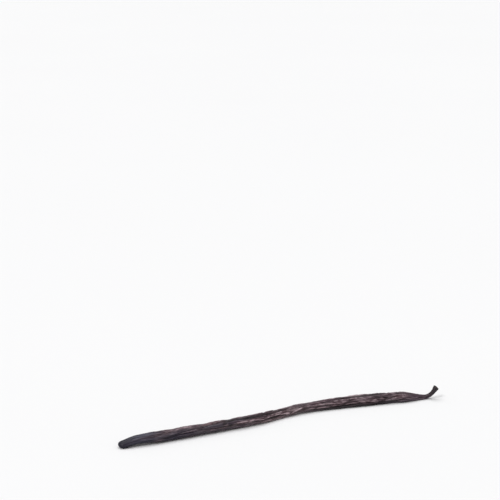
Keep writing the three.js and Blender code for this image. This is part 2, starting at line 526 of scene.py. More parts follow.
@dataclass(frozen=True)
class SkinRelief:
    """Everything that lies below the smooth section: furrows, folds, wrinkles and crinkles.

    Attributes:
        twist: How far the pattern turns round the pod over its length.
        swirl: The extra turn round the kink.
        swirl_from: Where the extra turn starts.
        swirl_to: Where it is complete.
        furrows: The long furrows.
        folds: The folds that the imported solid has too.
        wrinkles: Finer wrinkles on the ridges between the folds.
        crinkles: The finest lines.
        ticks: Short creases across the pod.
        tick_patches: The noise by which the short creases gather.
        tick_span: Values of that noise between which they deepen from nothing.
        swell: How far the tops of the finest relief stand above the folds' ridges.
        nose_smooth: Share of the relief that is left on the taut nose.
        nose_smooth_length: Length over which the relief comes back.
        underside_smooth: Share of the relief that is left where the table presses.
        underside_from: Sine of the angle below the sides where that starts.
        underside_to: Sine of the angle where it is complete.
    """

    twist: float = 0.7
    swirl: float = 1.25
    swirl_from: float = 66.0
    swirl_to: float = 112.0
    furrows: tuple[Furrow, ...] = field(default_factory=long_furrows)
    folds: tuple[Folds, ...] = field(default_factory=solid_folds)
    wrinkles: Folds = Folds(
        SkinNoise(29, 7.0, 4), depth=0.36, sharpness=1.7,
        wander=0.34, wander_pattern=SkinNoise(5, 7.5, 5), power=1.7,
    )
    crinkles: Folds = Folds(
        SkinNoise(49, 4.2, 6), depth=0.13, sharpness=1.6,
        wander=0.16, wander_pattern=SkinNoise(9, 5.0, 7), power=1.6,
    )
    ticks: Folds = Folds(
        SkinNoise(11, 2.2, 8), depth=0.17, sharpness=2.0,
        wander=0.4, wander_pattern=SkinNoise(7, 2.6, 9),
    )
    tick_patches: SkinNoise = SkinNoise(5, 9.0, 10)
    tick_span: Span = (-0.1, 0.5)
    swell: float = 0.01
    nose_smooth: float = 0.3
    nose_smooth_length: float = 26.0
    underside_smooth: float = 0.35
    underside_from: float = 0.45
    underside_to: float = 0.9

    def untwisted(self, s: Array, angle: Array) -> Array:
        """Take the twist out of an angle, to look a pattern up."""
        turned = self.twist * s / POD_LENGTH
        return angle + turned + self.swirl * smooth(s, self.swirl_from, self.swirl_to)

    def calm(self, s: Array, angle: Array) -> Array:
        """Say how much of the relief is left on the taut nose and under the pod.

        Args:
            s: Places along the pod.
            angle: Angles round it.

        Returns:
            The share that is left.
        """
        taut = mix(self.nose_smooth, 1.0, smooth(s, 0.0, self.nose_smooth_length))
        pressed = smooth(-np.sin(angle), self.underside_from, self.underside_to)
        return taut * mix(1.0, self.underside_smooth, pressed)

    def coarse(self, s: Array, angle: Array) -> Array:
        """Give the depth of the furrows and folds.

        Args:
            s: Places along the pod.
            angle: Angles round it.

        Returns:
            The depth below the smooth section.
        """
        turned = self.untwisted(s, angle)
        depth = np.maximum.reduce([fold.depth_at(s, turned) for fold in self.folds])
        for furrow in self.furrows:
            depth = depth + furrow.depth_at(s, turned)
        return depth * self.calm(s, angle)

    def fine(self, s: Array, angle: Array) -> Array:
        """Give the depth of the wrinkles, crinkles and short creases.

        Args:
            s: Places along the pod.
            angle: Angles round it.

        Returns:
            The depth below the folds' ridges.
        """
        turned = self.untwisted(s, angle)
        gathered = smooth(self.tick_patches.at(s, turned), *self.tick_span)
        depth = self.wrinkles.depth_at(s, turned) + self.crinkles.depth_at(s, turned)
        return (depth + gathered * self.ticks.depth_at(s, turned)) * self.calm(s, angle)

    def detailed(self, s: Array, angle: Array) -> Array:
        """Give the depth of the whole relief.

        Args:
            s: Places along the pod.
            angle: Angles round it.

        Returns:
            The depth below the smooth section.
        """
        return self.coarse(s, angle) + self.fine(s, angle) - self.swell * self.calm(s, angle)


# ------------------------------------------------------------------------------- the pod's ends


@dataclass(frozen=True)
class StalkScar:
    """The hollow, fibrous scar where the pod was broken off its stalk.

    Attributes:
        radii: Shares of the radius, from the rim to the middle.
        depths: How far each of them lies below the very end.
        rim: Shares of the radius, from the outside in, over which the fibres begin.
        fibres: The fibres that stand in the scar: cells across the whole radius.
        fibre_layers: For each layer of fibres its share of the depth, how much finer it is than
            the first, and which slice of the noise it uses.
        fibre_depth: How deep the gaps between the fibres are.
        bundles: How many thicker bundles stand in a ring.
        bundle_stray: How far the bundles stray from even places, as an angle of their wave.
        bundle_depth: How deep the gaps between the bundles are.
        ring: The ring's middle and half width, as shares of the radius.
    """

    radii: tuple[float, ...] = (1.0, 0.84, 0.5, 0.0)
    depths: tuple[float, ...] = (0.35, 0.0, 0.38, 0.55)
    rim: Span = (0.04, 0.16)
    fibres: float = 6.5
    fibre_layers: tuple[tuple[float, float, float], ...] = ((0.65, 1.0, 4.3), (0.35, 2.3, 7.9))
    fibre_depth: float = 0.3
    bundles: int = 11
    bundle_stray: float = 2.0
    bundle_depth: float = 0.22
    ring: Span = (0.62, 0.2)

    def profile(self, share: Array) -> Array:
        """Give the scar's depth below the very end at shares of the radius."""
        return np.interp(-share, -np.array(self.radii), self.depths)

    def ragged(self, share: Array, angle: Array) -> Array:
        """Give the extra depth between the broken fibres.

        Args:
            share: Shares of the radius.
            angle: Angles round the scar.

        Returns:
            The extra depth, which is nothing on the outer skin.
        """
        inside = smooth(1.0 - share, *self.rim)
        x, y = (self.fibres * share * wave(angle) for wave in (np.cos, np.sin))
        gaps = sum(
            part * (0.5 + 0.5 * grid_noise(finer * x, finer * y, np.full_like(x, layer)))
            for part, finer, layer in self.fibre_layers
        )
        uneven = self.bundles * angle + self.bundle_stray * np.cos(2.0 * angle)
        ring = bell(share, *self.ring) * (0.5 + 0.5 * np.cos(uneven))
        return inside * (self.fibre_depth * gaps + self.bundle_depth * ring)


@dataclass(frozen=True)
class BlossomPit:
    """The small pit at the tip of the nose, where the flower sat.

    Attributes:
        depth: How deep it is.
        radius: Its radius as a share of the nose's.
        rays: How many small creases run out of it.
        ray_depth: How deep they are.
        ray_reach: How far out they reach, as a share of the nose's radius.
        stray: How far they stray from even places, as an angle of their wave.
        stray_phase: Where that stray starts.
        stray_twice: The same stray, twice round the nose.
    """

    depth: float = 0.3
    radius: float = 0.2
    rays: int = 7
    ray_depth: float = 0.07
    ray_reach: float = 0.55
    stray: float = 1.3
    stray_phase: float = 0.6
    stray_twice: float = 0.8

    def depth_at(self, share: Array, angle: Array) -> Array:
        """Give the depth of the pit and its creases.

        Args:
            share: Shares of the nose's radius.
            angle: Angles round the nose.

        Returns:
            The depth below the round nose.
        """
        uneven = self.rays * angle + self.stray * np.sin(angle + self.stray_phase)
        uneven += self.stray_twice * np.sin(2.0 * angle)
        crease = np.maximum(0.0, np.cos(uneven)) ** 3
        ray = bell(share, self.ray_reach / 2.0, self.ray_reach / 2.6) * crease
        return self.depth * bell(share, 0.0, self.radius) + self.ray_depth * ray


# ----------------------------------------------------------------------------- nodes and finishes


class Wire:
    """A number from a node's socket that takes part in Python sums."""

    def __init__(self, bench: "NodeBench", socket: bpy.types.NodeSocket) -> None:
        """Hold a socket and the bench that its tree is built on."""
        self.bench = bench
        self.socket = socket

    def _sum(self, operation: str, *terms: "Wire | float") -> "Wire":
        """Add a Math node.

        Args:
            operation: Blender's name for the operation.
            *terms: Its inputs, in order.

        Returns:
            The result.
        """
        sockets = dict(enumerate(terms))
        return self.bench.wire("ShaderNodeMath", {"operation": operation}, sockets)

    def __add__(self, other: "Wire | float") -> "Wire":
        """Add."""
        return self._sum("ADD", self, other)

    def __radd__(self, other: "Wire | float") -> "Wire":
        """Add, the other way round."""
        return self._sum("ADD", other, self)

    def __sub__(self, other: "Wire | float") -> "Wire":
        """Subtract."""
        return self._sum("SUBTRACT", self, other)

    def __rsub__(self, other: "Wire | float") -> "Wire":
        """Subtract this from the other."""
        return self._sum("SUBTRACT", other, self)

    def __mul__(self, other: "Wire | float") -> "Wire":
        """Multiply."""
        return self._sum("MULTIPLY", self, other)

    def __rmul__(self, other: "Wire | float") -> "Wire":
        """Multiply, the other way round."""
        return self._sum("MULTIPLY", other, self)

    def rise(self, low: float, high: float) -> "Wire":
        """Rise smoothly from 0 to 1 as the number goes from low to high.

        Args:
            low: Where the rise starts.
            high: Where the rise ends.

        Returns:
            The share risen.
        """
        settings = {"interpolation_type": "SMOOTHSTEP"}
        sockets = {"Value": self, "From Min": low, "From Max": high}
        return self.bench.wire("ShaderNodeMapRange", settings, sockets)

    def between(self, opening: Span, closing: Span) -> "Wire":
        """Rise smoothly from 0 to 1 over one span of the number and fall back over another."""
        return self.rise(*opening) * (1.0 - self.rise(*closing))


Feed = Wire | bpy.types.NodeSocket | float | tuple[float, ...]
Layer = tuple[Wire, Feed]


@dataclass(frozen=True)
class Grain:
    """A noise pattern of the skin.

    Attributes:
        stretch: Factor on places along the pod: below 1, it draws the pattern out.
        scale: Scale of the pattern.
        detail: How many finer layers it has.
    """

    stretch: float
    scale: float
    detail: float


class NodeBench:
    """Adds nodes to one tree."""

    def __init__(self, tree: bpy.types.NodeTree) -> None:
        """Hold a tree and empty it."""
        self.tree = tree
        tree.nodes.clear()

    def node(
        self,
        kind: str,
        settings: dict[str, object] | None = None,
        sockets: dict[str | int, Feed] | None = None,
    ) -> bpy.types.Node:
        """Add a node of any type.

        Args:
            kind: Blender's name for the node's type.
            settings: The node's own settings, which are set first.
            sockets: What each input gets, by the socket's name or number.

        Returns:
            The new node.
        """
        made = self.tree.nodes.new(kind)
        for name, value in (settings or {}).items():
            setattr(made, name, value)
        for name, value in (sockets or {}).items():
            self.feed(made.inputs[name], value)
        return made

    def feed(self, target: bpy.types.NodeSocket, value: Feed) -> None:
        """Link or set an input.

        Args:
            target: The input.
            value: A wire or a socket to link, or a value to set.
        """
        if isinstance(value, Wire):
            value = value.socket
        if isinstance(value, bpy.types.NodeSocket):
            self.tree.links.new(value, target)
        elif isinstance(value, tuple) and target.type == "RGBA":
            target.default_value = (*value, 1.0)
        else:
            target.default_value = value

    def wire(
        self,
        kind: str,
        settings: dict[str, object] | None = None,
        sockets: dict[str | int, Feed] | None = None,
        output: str | int = 0,
    ) -> Wire:
        """Add a node and take one of its outputs as a number.

        Args:
            kind: Blender's name for the node's type.
            settings: The node's own settings.
            sockets: What each input gets.
            output: Which output to take.

        Returns:
            The output, ready for sums.
        """
        return Wire(self, self.node(kind, settings, sockets).outputs[output])

    def blend(self, share: Wire | float, low: Feed, high: Feed) -> bpy.types.NodeSocket:
        """Mix two colours.

        Args:
            share: How much of the second colour shows.
            low: The first colour.
            high: The second colour.

        Returns:
            The mixed colour's socket.
        """
        made = self.node("ShaderNodeMix", {"data_type": "RGBA", "clamp_factor": True})
        inputs = {socket.identifier: socket for socket in made.inputs}
        for name, value in (("Factor_Float", share), ("A_Color", low), ("B_Color", high)):
            self.feed(inputs[name], value)
        return next(socket for socket in made.outputs if socket.identifier == "Result_Color")

    def layered(self, colour: Feed, layers: tuple[Layer, ...]) -> Feed:
        """Lay colours one over another.

        Args:
            colour: The lowest colour.
            layers: For each layer above it, from the lowest, how much of it shows and its colour.

        Returns:
            The colour that comes out on top.
        """
        for share, layer in layers:
            colour = self.blend(share, colour, layer)
        return colour

    def grain(self, place: Feed, grain: Grain) -> Wire:
        """Add a noise pattern.

        Args:
            place: Where on the straight pod each point lies, in millimetres.
            grain: The pattern.

        Returns:
            Noise from 0 to 1.
        """
        sockets = {0: place, 1: (grain.stretch, 1.0, 1.0)}
        laid = self.node("ShaderNodeVectorMath", {"operation": "MULTIPLY"}, sockets)
        sockets = {"Vector": laid.outputs[0], "Scale": grain.scale, "Detail": grain.detail}
        return self.wire("ShaderNodeTexNoise", {"noise_dimensions": "3D"}, sockets)


def new_material(name: str) -> tuple[bpy.types.Material, NodeBench]:
    """Make an empty material.

    Args:
        name: Its name.

    Returns:
        The material and a bench for its nodes.
    """
    material = bpy.data.materials.new(name)
    material.use_nodes = True
    return material, NodeBench(material.node_tree)


class SkinData(Enum):
    """What the pod's mesh tells its finish about each point."""

    PLACE = "straight_place"
    HOLLOW = "furrow_share"
    CREASE = "crease_share"
    # How far a point lies in the painted shade low on the pod.
    LOW_SHADE = "low_shade_share"
    TORN = "torn_share"


class Tone(Enum):
    """How a stretch of the skin differs from the rest: in its tone, or by a painted highlight."""

    # Ridges painted pale as a highlight.
    HIGHLIGHTED = "pale on its ridges"
    SMOOTH = "without the pale ridges"
    DARKENED = "darkened"
    # A painted highlight on the nose.
    NOSE_HIGHLIGHT = "painted highlight on the nose"


@dataclass(frozen=True)
class Patch:
    """A long soft-edged patch of the skin with a tone or a painted highlight of its own.

    Attributes:
        tone: Its tone.
        angle: Where its middle lies round the pod, in the untwisted pattern.
        reach: Half its width, as an angle.
        start: Where along the pod it starts.
        end: Where it ends.
        share: How much of its tone shows.
        fade: Length over which it comes and goes.
    """

    tone: Tone
    angle: float
    reach: float
    start: float
    end: float
    share: float
    fade: float = 14.0


def skin_patches() -> tuple[Patch, ...]:
    """List the patches: darker ones, plain ones, and painted highlights on the ridges and the nose."""
    return (
        Patch(Tone.NOSE_HIGHLIGHT, radians(106.0), radians(30.0), start=4.0, end=20.0, share=0.75, fade=6.0),
        Patch(Tone.NOSE_HIGHLIGHT, radians(166.0), radians(26.0), start=2.0, end=30.0, share=0.3, fade=8.0),
        Patch(Tone.HIGHLIGHTED, radians(121.0), radians(20.0), start=18.0, end=48.0, share=0.85),
        Patch(Tone.DARKENED, radians(150.0), radians(28.0), start=12.0, end=48.0, share=0.55),
        Patch(Tone.DARKENED, radians(170.0), radians(32.0), start=34.0, end=62.0, share=0.85),
        Patch(Tone.SMOOTH, radians(148.0), radians(30.0), start=44.0, end=78.0, share=0.8),
        Patch(Tone.DARKENED, radians(142.0), radians(32.0), start=47.0, end=82.0, share=0.55),
        Patch(Tone.HIGHLIGHTED, radians(194.0), radians(30.0), start=46.0, end=98.0, share=0.85),
        Patch(Tone.HIGHLIGHTED, radians(202.0), radians(24.0), start=52.0, end=100.0, share=0.8),
        Patch(Tone.SMOOTH, radians(190.0), radians(26.0), start=88.0, end=134.0, share=0.6),
        Patch(Tone.HIGHLIGHTED, radians(226.0), radians(32.0), start=82.0, end=136.0, share=0.7),
        Patch(Tone.SMOOTH, radians(202.0), radians(24.0), start=122.0, end=150.0, share=0.4),
        Patch(Tone.HIGHLIGHTED, radians(254.0), radians(26.0), start=86.0, end=148.0, share=0.9),
        Patch(Tone.HIGHLIGHTED, radians(233.0), radians(22.0), start=132.0, end=162.0, share=0.6),
        Patch(Tone.DARKENED, radians(268.0), radians(24.0), start=136.0, end=166.0, share=0.4),
        Patch(Tone.SMOOTH, radians(226.0), radians(34.0), start=153.0, end=178.0, share=0.8),
        Patch(Tone.DARKENED, radians(238.0), radians(26.0), start=153.0, end=176.0, share=0.3),
    )


@dataclass(frozen=True)
class SkinWires:
    """What the nodes of a finish know about each point of the skin.

    Attributes:
        bench: Where the nodes are added.
        place: Where on the straight pod the point lies, in millimetres.
        along: How far along the pod that is.
        hollow: How deep in a furrow or fold it lies.
        crease: How deep in a fine crease it lies.
        low: How far it lies in the painted shade low on the pod.
        torn: How far inside the stalk scar it lies.
        streak: Noise of long soft streaks.
        uneven: The same noise round 0, which moves the edges of patches.
        thread: Noise of long fine threads.
        cloud: Noise of broad patches.
        glint_fleck: Noise of small flecks, which places the painted glints and varies the roughness and
            bump.
        pore: Noise of the finest grain.
        dapple: Noise of short dapples.
    """

    bench: NodeBench
    place: bpy.types.NodeSocket
    along: Wire
    hollow: Wire
    crease: Wire
    low: Wire
    torn: Wire
    streak: Wire
    uneven: Wire
    thread: Wire
    cloud: Wire
    glint_fleck: Wire
    pore: Wire
    dapple: Wire


@dataclass(frozen=True)
class OiledSkin:
    """The oily, near-black skin, plum grey on its wrinkles' tops, with painted sheen, glints and shade.

    Attributes:
        radius: Radius of the straight pod that the patterns lie on, in millimetres.
        hollow: Painted shade at the bottom of the furrows and creases, and on the low side.
        groove: Colour between the pale beads of painted highlight on the paler ridges.
        skin: Colour of most of the skin.
        low_shade: Painted shade low on the pod, also the colour of the darkened patches.
        ridge: Plum grey on the tops of the wrinkles: their own paler tone, and a painted sheen on them.
        glint_fleck: Colour of the painted glints and highlights on them.
        rust: Colour of the red-brown patches.
        slate: Colour of the taut nose.
        tip: Colour of the nose's very tip.
        nose_highlight: Colour of the painted highlight on the nose.
        mauve: Colour of the taut skin over the neck.
        stalk: Colour of the stalk end.
        fibre: Colour of the torn fibres in the scar.
        gloss: Roughness on the ridges.
        dull: Roughness in the furrows.
        oil: How much clear oil lies on the skin.
        oil_roughness: Roughness of the oil's surface.
        relief: Height of the finest relief, in millimetres.
        bump: How strongly that relief shows.
        refraction: Refractive index of the skin.
        specular: How much the skin itself mirrors.
        streaks: Long soft streaks.
        threads: Long fine threads.
        clouds: Broad patches.
        glint_flecks: Small flecks, which place the painted glints and vary the roughness and bump.
        pores: The finest grain.
        dapples: Short dapples, which break the paler ridges and their painted highlights up into beads.
        nose_span: Where along the pod the slate of the nose fades out.
        nose_stray: How far the clouds and the streaks move that place.
        tip_span: Where the dark of the tip fades out.
        tip_stray: How far the streaks move that place.
        taut_span: Where the painted shade in the furrows and creases grows from faint and grey to full.
        bare_spans: Where the painted shade low on the pod thins out, and where it is back.
        bare_share: How much of it goes there.
        pale_span: Where the ridges turn paler and their painted sheen and highlights stronger.
        fading_span: Where that gets a little less again.
        shade_spans: Where the low side turns darker, and where that ends.
        neck_span: Where the skin draws taut towards the neck.
        stem_span: Where the stalk end's own colour sets in.
        patches: The patches with a tone or a painted highlight of their own.
        patch_core: Share of a patch's width over which its tone shows in full.
        patch_stray: How far the streaks move a patch's edge: sideways, as a cosine, and along.
    """

    radius: float
    hollow: Colour = (0.007, 0.003, 0.004)
    groove: Colour = (0.058, 0.026, 0.031)
    skin: Colour = (0.070, 0.041, 0.056)
    low_shade: Colour = (0.035, 0.031, 0.046)
    ridge: Colour = (0.298, 0.203, 0.226)
    glint_fleck: Colour = (0.540, 0.445, 0.470)
    rust: Colour = (0.110, 0.044, 0.046)
    slate: Colour = (0.030, 0.031, 0.053)
    tip: Colour = (0.004, 0.004, 0.011)
    nose_highlight: Colour = (0.076, 0.074, 0.104)
    mauve: Colour = (0.104, 0.070, 0.096)
    stalk: Colour = (0.034, 0.034, 0.035)
    fibre: Colour = (0.120, 0.082, 0.056)
    gloss: float = 0.33
    dull: float = 0.62
    oil: float = 0.5
    oil_roughness: float = 0.23
    relief: float = 0.09
    bump: float = 0.7
    refraction: float = 1.45
    specular: float = 0.26
    streaks: Grain = Grain(0.16, 1.1, 3.0)
    threads: Grain = Grain(0.12, 2.6, 2.0)
    clouds: Grain = Grain(0.32, 0.2, 2.0)
    glint_flecks: Grain = Grain(0.55, 3.1, 1.0)
    pores: Grain = Grain(1.0, 8.0, 2.0)
    dapples: Grain = Grain(0.4, 0.9, 2.0)
    nose_span: Span = (4.0, 43.0)
    nose_stray: Span = (26.0, 14.0)
    tip_span: Span = (0.0, 15.0)
    tip_stray: float = 12.0
    taut_span: Span = (34.0, 58.0)
    bare_spans: tuple[Span, Span] = ((46.0, 76.0), (98.0, 116.0))
    bare_share: float = 0.7
    pale_span: Span = (54.0, 88.0)
    fading_span: Span = (126.0, 150.0)
    shade_spans: tuple[Span, Span] = ((104.0, 120.0), (138.0, 152.0))
    neck_span: Span = (150.0, 168.0)
    stem_span: Span = (169.0, 176.0)
    patches: tuple[Patch, ...] = field(default_factory=skin_patches)
    patch_core: float = 0.35
    patch_stray: Span = (0.4, 12.0)

    def read(self, bench: NodeBench) -> SkinWires:
        """Read what the mesh tells about each point, and lay the patterns.

        Args:
            bench: Where the nodes are added.

        Returns:
            What is known about each point.
        """
        told = bench.node("ShaderNodeAttribute", {"attribute_name": SkinData.PLACE.value})
        place = told.outputs["Vector"]
        hollow, crease, low_shade, torn = (
            bench.wire("ShaderNodeAttribute", {"attribute_name": data.value}, output="Fac")
            for data in (SkinData.HOLLOW, SkinData.CREASE, SkinData.LOW_SHADE, SkinData.TORN)
        )
        along = bench.wire("ShaderNodeSeparateXYZ", None, {0: place})
        streak = bench.grain(place, self.streaks)
        return SkinWires(
            bench=bench,
            place=place,
            along=along,
            hollow=hollow,
            crease=crease,
            # The painted shade low on the pod, thinned out over the bare spans.
            low=low_shade * (1.0 - self.bare_share * along.between(*self.bare_spans)),
            torn=torn,
            streak=streak,
            uneven=streak - 0.5,
            thread=bench.grain(place, self.threads),
            cloud=bench.grain(place, self.clouds),
            glint_fleck=bench.grain(place, self.glint_flecks),
            pore=bench.grain(place, self.pores),
            dapple=bench.grain(place, self.dapples),
        )

    def patch_mask(self, skin: SkinWires, patch: Patch) -> Wire:
        """Say how much of a patch's tone shows at each point.

        Args:
            skin: What is known about each point.
            patch: The patch.

        Returns:
            The share of the patch's tone.
        """
        facing = (0.0, math.cos(patch.angle) / self.radius, math.sin(patch.angle) / self.radius)
        sockets = {0: skin.place, 1: facing}
        turned = skin.bench.node("ShaderNodeVectorMath", {"operation": "DOT_PRODUCT"}, sockets)
        stray_beside, stray_along = self.patch_stray
        beside = Wire(skin.bench, turned.outputs["Value"]) + stray_beside * skin.uneven
        inside = beside.rise(math.cos(patch.reach), math.cos(self.patch_core * patch.reach))
        along = skin.along + stray_along * skin.uneven
        opening = (patch.start, patch.start + patch.fade)
        closing = (patch.end - patch.fade, patch.end)
        return patch.share * inside * along.between(opening, closing)

    def toned(self, skin: SkinWires, tone: Tone) -> Wire:
        """Say how much of a tone shows at each point, over all the patches that have it.

        Args:
            skin: What is known about each point.
            tone: The tone.

        Returns:
            The share of the tone.
        """
        patches = (patch for patch in self.patches if patch.tone is tone)
        return 1.0 - math.prod(1.0 - self.patch_mask(skin, patch) for patch in patches)

    def wear(self, skin: SkinWires, ridge_highlight: Wire, open_skin: Wire) -> tuple[Layer, ...]:
        """Paint the shade low on the pod, the rust, and the ridges with their painted sheen, glints and
        highlights.

        Args:
            skin: What is known about each point.
            ridge_highlight: How far the ridges carry a pale painted highlight.
            open_skin: How far the point lies clear of the nose and the stalk end.

        Returns:
            The layers, from the lowest.
        """
        along, low, streak, thread = skin.along, skin.low, skin.streak, skin.thread
        # How far along the pod the ridges are paler and their painted sheen and highlights stronger.
        paler = along.rise(*self.pale_span) * (1.0 - 0.3 * along.rise(*self.fading_span))
        paler = paler * (1.0 - 0.5 * along.rise(*self.neck_span))
        top = (1.0 - skin.crease.rise(0.1, 0.7)) * (1.0 - skin.hollow.rise(0.08, 0.55))
        # Painted sheen in long streaks on the tops of the wrinkles.
        lit = top * (0.2 + 0.6 * thread.rise(0.44, 0.58)) * (0.3 + 1.2 * streak.rise(0.44, 0.6))
        red = skin.cloud.rise(0.5, 0.66) * (1.0 - 0.6 * low)
        # Painted glints: small pale specks on the tops of the wrinkles.
        painted_glints = top * skin.glint_fleck.rise(0.62, 0.72) * streak.rise(0.4, 0.55) * open_skin
        broken = skin.dapple + 0.5 * (thread - 0.5) + 0.2 * (skin.pore - 0.5)
        # Pale beads of painted highlight on the ridges of the highlighted patches.
        beads = (0.45 + 0.55 * top) * (0.1 + 1.5 * broken.rise(0.44, 0.53))
        # Painted highlights, broken up into beads, on the tops of the wrinkles.
        shine = top * broken.rise(0.51, 0.58) * (0.42 + 0.58 * paler) * (1.0 - low)
        gap = paler * (1.0 - broken.rise(0.42, 0.49)) * (1.0 - low)
        return (
            # Painted shade low on the pod.
            (0.75 * low, self.low_shade),
            (0.6 * red, self.rust),
            (0.3 * paler * (1.0 - low), self.ridge),
            (lit * (0.62 + 0.38 * paler) * (1.0 - 0.55 * low), self.ridge),
            (ridge_highlight * beads, self.ridge),
            (0.6 * painted_glints, self.glint_fleck),
            ((0.34 + 0.3 * paler + 0.3 * ridge_highlight) * shine, self.glint_fleck),
            (0.6 * gap, self.groove),
        )

    def shadows(self, skin: SkinWires, ridge_highlight: Wire) -> tuple[Layer, ...]:
        """Darken the furrows, the creases and the low side.

        Args:
            skin: What is known about each point.
            ridge_highlight: How far the ridges carry a pale painted highlight, which thins the painted
                shade.

        Returns:
            The layers, from the lowest.
        """
        taut = 1.0 - skin.along.rise(*self.taut_span)
        shaded = skin.along.between(*self.shade_spans)
        dark = (0.82 - 0.42 * skin.low) * (1.0 - 0.75 * taut) * (1.0 - 0.3 * ridge_highlight)
        return (
            # Painted shade in the furrows and folds, on the low side and in the fine creases.
            (dark * skin.hollow.rise(0.14, 0.85), self.hollow),
            (0.9 * skin.low * shaded, self.hollow),
            ((0.8 - 0.4 * taut) * skin.crease.rise(0.25, 0.95), self.hollow),
        )

    def make(self) -> bpy.types.Material:
        """Build the material from the mesh's own data.

        Returns:
            The material.
        """
        material, bench = new_material("oiled_skin")
        skin = self.read(bench)
        by_cloud, by_streak = self.nose_stray
        strayed = skin.along + by_cloud * (skin.cloud - 0.5) + by_streak * skin.uneven
        nose = 1.0 - strayed.rise(*self.nose_span)
        tip = 1.0 - (skin.along + self.tip_stray * skin.uneven).rise(*self.tip_span)
        stem = skin.along.rise(*self.stem_span)
        open_skin = (1.0 - nose) * (1.0 - stem)
        # Patches where the ridges are painted pale as a highlight.
        ridge_highlight = self.toned(skin, Tone.HIGHLIGHTED)
        plain = self.toned(skin, Tone.SMOOTH)
        fibre = bench.blend(skin.thread.rise(0.35, 0.65), self.stalk, self.fibre)
        layers = (
            *self.wear(skin, ridge_highlight, open_skin),
            (plain, self.skin),
            (self.toned(skin, Tone.DARKENED), self.low_shade),
            (0.85 * nose, self.slate),
            (0.85 * tip, self.tip),
            # Painted highlight on the nose.
            (self.toned(skin, Tone.NOSE_HIGHLIGHT), self.nose_highlight),
            (0.55 * skin.along.rise(*self.neck_span), self.mauve),
            (0.75 * stem, self.stalk),
            *self.shadows(skin, ridge_highlight),
            (skin.torn * skin.pore.rise(0.3, 0.55), fibre),
        )
        rough = self.gloss + (self.dull - self.gloss) * (skin.hollow + 0.6 * skin.crease + 0.6 * plain)
        height = 0.55 * skin.glint_fleck + 0.3 * skin.pore + 0.35 * skin.thread
        raised = {"Strength": self.bump, "Distance": self.relief * MILLIMETRE, "Height": height}
        sockets = {
            "Base Color": bench.layered(self.skin, layers),
            "Roughness": rough + 0.2 * (skin.glint_fleck - 0.5) + 0.3 * skin.torn,
            "Normal": bench.node("ShaderNodeBump", None, raised).outputs[0],
            "Coat Weight": self.oil * skin.cloud.rise(0.35, 0.6) * open_skin * (1.0 - plain),
            "Coat Roughness": self.oil_roughness,
            "IOR": self.refraction,
            "Specular IOR Level": self.specular,
        }
        shader = bench.node("ShaderNodeBsdfPrincipled", None, sockets)
        bench.node("ShaderNodeOutputMaterial", None, {"Surface": shader.outputs[0]})
        return material


@dataclass(frozen=True)
class PaleTable:
    """The matt, nearly white table.

    Attributes:
        colour: Its colour.
        mottle: How much its tone varies.
        mottle_scale: Scale of the clouds in which it varies.
        roughness: How rough it is.
        specular: How much it mirrors.
    """

    colour: Colour = (0.86, 0.86, 0.865)
    mottle: float = 0.015
    mottle_scale: float = 3.0
    roughness: float = 0.85
    specular: float = 0.2

    def make(self) -> bpy.types.Material:
        """Build the material.

        Returns:
            The material.
        """
        material, bench = new_material("pale_table")
        place = bench.node("ShaderNodeTexCoord").outputs["Object"]
        sockets = {"Vector": place, "Scale": self.mottle_scale, "Detail": 2.0}
        cloud = bench.wire("ShaderNodeTexNoise", None, sockets)
        darker = tuple(channel * (1.0 - self.mottle) for channel in self.colour)
        sockets = {
            "Base Color": bench.blend(cloud, self.colour, darker),
            "Roughness": self.roughness,
            "Specular IOR Level": self.specular,
        }
        shader = bench.node("ShaderNodeBsdfPrincipled", None, sockets)
        bench.node("ShaderNodeOutputMaterial", None, {"Surface": shader.outputs[0]})
        return material


# ------------------------------------------------------------------------- objects in the scene


def placed(name: str, data: bpy.types.ID) -> bpy.types.Object:
    """Make an object and put it in the scene.

    Args:
        name: Its name.
        data: Its mesh, lamp or camera.

    Returns:
        The object.
    """
    made = bpy.data.objects.new(name, data)
    bpy.context.scene.collection.objects.link(made)
    return made


def direction_of(azimuth: float, elevation: float) -> Vector:
    """Turn two angles into a direction.

    Args:
        azimuth: The angle round from -Y towards +X.
        elevation: The angle above the table.

    Returns:
        The direction as a unit vector.
    """
    level = math.cos(elevation)
    return Vector((math.sin(azimuth) * level, -math.cos(azimuth) * level, math.sin(elevation)))


def aim(held: bpy.types.Object, ahead: Vector) -> None:
    """Turn a lamp or camera to look ahead."""
    held.rotation_mode = "QUATERNION"
    held.rotation_quaternion = ahead.to_track_quat("-Z", "Y")


# --------------------------------------------------------------------------------- the pod's skin


@dataclass(frozen=True)
class FaceCorners:
    """The corners of all faces of a mesh.

    Attributes:
        point: Each corner's point.
        face: Each corner's face.
        size: How many corners that face has.
    """

    point: Array
    face: Array
    size: Array

    @classmethod
    def of(cls, mesh: bpy.types.Mesh) -> "FaceCorners":
        """List the corners of a mesh.

        Args:
            mesh: The mesh.

        Returns:
            Its corners.
        """
        point = np.empty(len(mesh.loops), dtype=np.int64)
        mesh.loops.foreach_get("vertex_index", point)
        totals = np.empty(len(mesh.polygons), dtype=np.int64)
        mesh.polygons.foreach_get("loop_total", totals)
        return cls(point, np.repeat(np.arange(len(totals)), totals), np.repeat(totals, totals))

    def total(self, values: Array) -> Array:
        """Add a value of the corners up over each one's face."""
        return np.bincount(self.face, weights=values)[self.face]

    def highest(self, values: Array) -> Array:
        """Give the highest value in each corner's face."""
        found = np.zeros(self.face[-1] + 1, dtype=values.dtype)
        np.maximum.at(found, self.face, values)
        return found[self.face]


@dataclass(frozen=True)
class SkinPoints:
    """Points of the straight, round pod, before it is cured.

    Attributes:
        s: Places along the pod.
        share: Shares of the full radius.
        angle: Angles round it.
    """

    s: Array
    share: Array
    angle: Array


